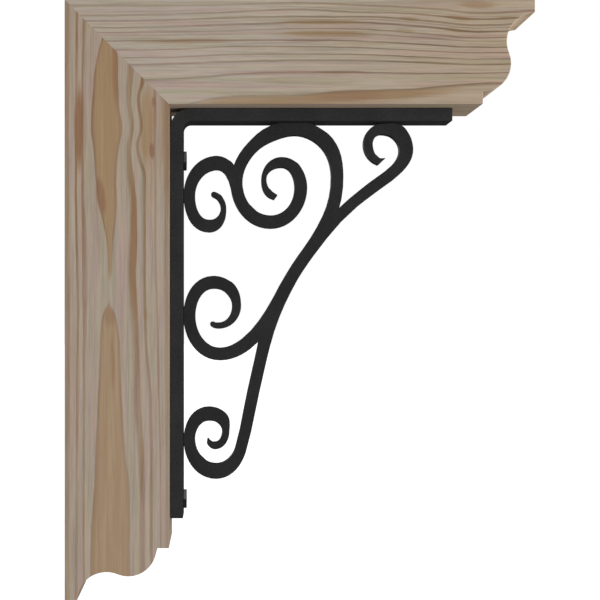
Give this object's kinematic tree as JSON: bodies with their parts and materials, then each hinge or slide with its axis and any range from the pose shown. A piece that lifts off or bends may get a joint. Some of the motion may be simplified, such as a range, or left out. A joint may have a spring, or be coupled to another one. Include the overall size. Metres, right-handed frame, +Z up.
{
  "type": "wooden bracket",
  "caption": "Square timber corner bracket with mitred, ogee-ended members, a bent flat iron strap in the corner and a scrolled iron panel.",
  "frame": {"origin": "middle of the post's flat back, where it meets the wall", "axes": "+X out from the wall along the arm, +Y across the width, +Z up"},
  "size_m": [0.401, 0.0888, 0.512],
  "materials": {
    "timber": "planed softwood, matt",
    "iron": "black powder coat, fine texture, matt",
    "screws": "black, satin"
  },
  "bodies": {
    "root": {"wall_post": "timber", "top_arm": "timber", "iron_strap": "iron", "iron_scrollwork": "iron", "upper_screw": "screws", "lower_screw": "screws"}
  },
  "joints": []
}
